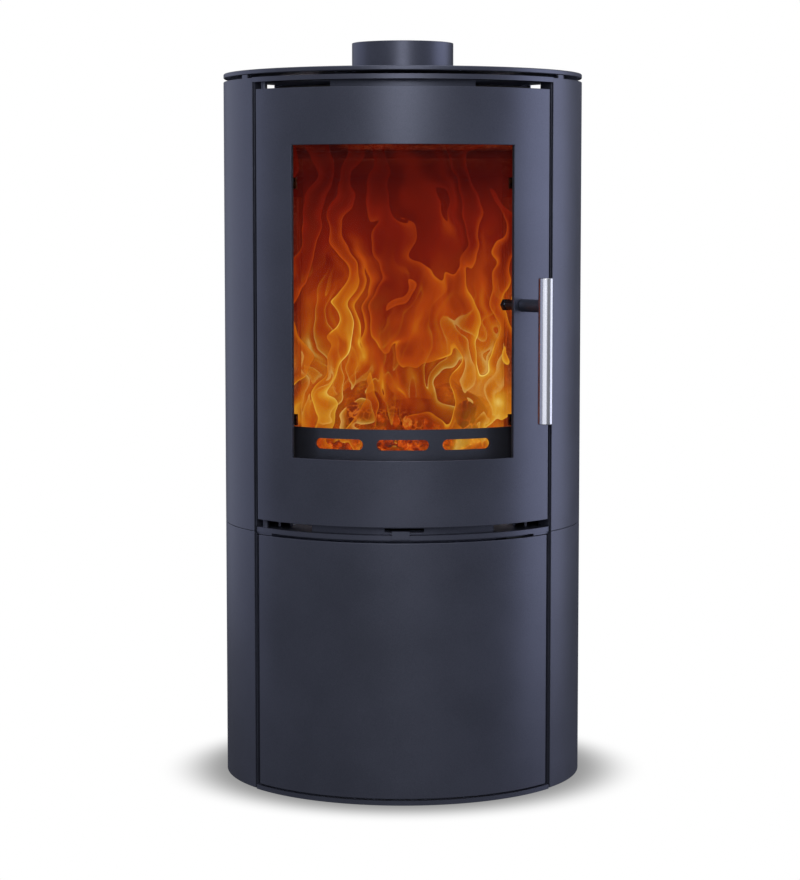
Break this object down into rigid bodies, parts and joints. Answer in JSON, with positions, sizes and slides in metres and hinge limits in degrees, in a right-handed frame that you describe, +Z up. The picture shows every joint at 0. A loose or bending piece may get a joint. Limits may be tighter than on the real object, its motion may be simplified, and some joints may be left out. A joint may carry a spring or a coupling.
{
  "type": "wood burning stove",
  "caption": "Round steel wood burning stove with a curved glazed door, side lever handle, air slider and top flue collar, on a cupboard base with a curved door.",
  "frame": {"origin": "centre of the base's underside, on the floor", "axes": "+Z up, -Y towards the front (door side), +X to the right seen from the front"},
  "size_m": [0.47, 0.47, 0.962],
  "materials": {
    "stove_paint": "satin high-temperature stove paint on steel, dark blue grey",
    "brushed_stainless": "lengthwise brushed stainless steel",
    "zinc_steel": "bright zinc plated steel",
    "sheet_steel": "mill finish galvanised sheet",
    "cast_iron": "as cast, matt",
    "vermiculite": "pressed vermiculite board, matt",
    "ceramic_glass": "clear ceramic glass, curved",
    "seal_cord": "braided glass fibre, graphited",
    "catch_plastic": "black moulded magnet housing"
  },
  "bodies": {
    "stove_body": {"top_plate": "stove_paint", "flue_spigot": "stove_paint", "spigot_bolts": "zinc_steel", "firebox_wrap": "stove_paint", "firebox_roof": "stove_paint", "ash_floor": "stove_paint", "hearth_plate": "stove_paint", "grate": "cast_iron", "brick_left": "vermiculite", "brick_right": "vermiculite", "brick_rear": "vermiculite", "baffle": "vermiculite", "baffle_bars": "zinc_steel", "log_guard": "stove_paint", "ash_pan": "sheet_steel", "front_frame": "stove_paint", "airwash_plate": "stove_paint", "air_box": "stove_paint", "body_floor": "stove_paint", "top_rail": "stove_paint", "side_panel_left": "stove_paint", "side_panel_right": "stove_paint", "rear_panel": "stove_paint", "panel_screws": "zinc_steel", "heat_shield": "sheet_steel", "firebox_support_left": "stove_paint", "firebox_support_right": "stove_paint", "door_pin_top": "zinc_steel", "door_pin_bottom": "zinc_steel", "base_floor": "stove_paint", "base_lid": "stove_paint", "base_panel_left": "stove_paint", "base_panel_right": "stove_paint", "base_rear_panel": "stove_paint", "base_panel_screws": "zinc_steel", "magnet_catch": "catch_plastic", "base_pin_top": "zinc_steel", "base_pin_bottom": "zinc_steel"},
    "door": {"door_skin": "stove_paint", "door_frame": "stove_paint", "glass": "ceramic_glass", "glass_gasket": "seal_cord", "door_rope": "seal_cord", "glass_clips": "sheet_steel", "clip_screws": "zinc_steel", "door_hinge_top": "stove_paint", "door_hinge_bottom": "stove_paint", "handle_bush": "zinc_steel"},
    "handle": {"handle_bar": "brushed_stainless", "handle_stalk": "stove_paint", "latch_tongue": "zinc_steel", "latch_spacer": "zinc_steel", "latch_nut": "zinc_steel"},
    "air_control": {"air_slider": "stove_paint"},
    "base_door": {"base_door_skin": "stove_paint", "base_door_frame": "stove_paint", "base_hinge_top": "stove_paint", "base_hinge_bottom": "stove_paint", "base_striker": "sheet_steel"}
  },
  "joints": [
    {"name": "door_hinge", "type": "hinge", "parent": "stove_body", "child": "door", "pos_m": [-0.1745, -0.14298, 0.6235], "axis": [0, 0, -1], "range_deg": [0, 100]},
    {"name": "handle_turn", "type": "hinge", "parent": "door", "child": "handle", "pos_m": [0.15043, -0.18055, 0.6254], "axis": [0.6401, -0.7683, 0], "range_deg": [0, 90]},
    {"name": "air_slide", "type": "slide", "parent": "stove_body", "child": "air_control", "axis": [1, 0, 0], "range_m": [-0.009, 0.018]},
    {"name": "base_door_hinge", "type": "hinge", "parent": "stove_body", "child": "base_door", "pos_m": [-0.1745, -0.14298, 0.17], "axis": [0, 0, -1], "range_deg": [0, 100]}
  ]
}
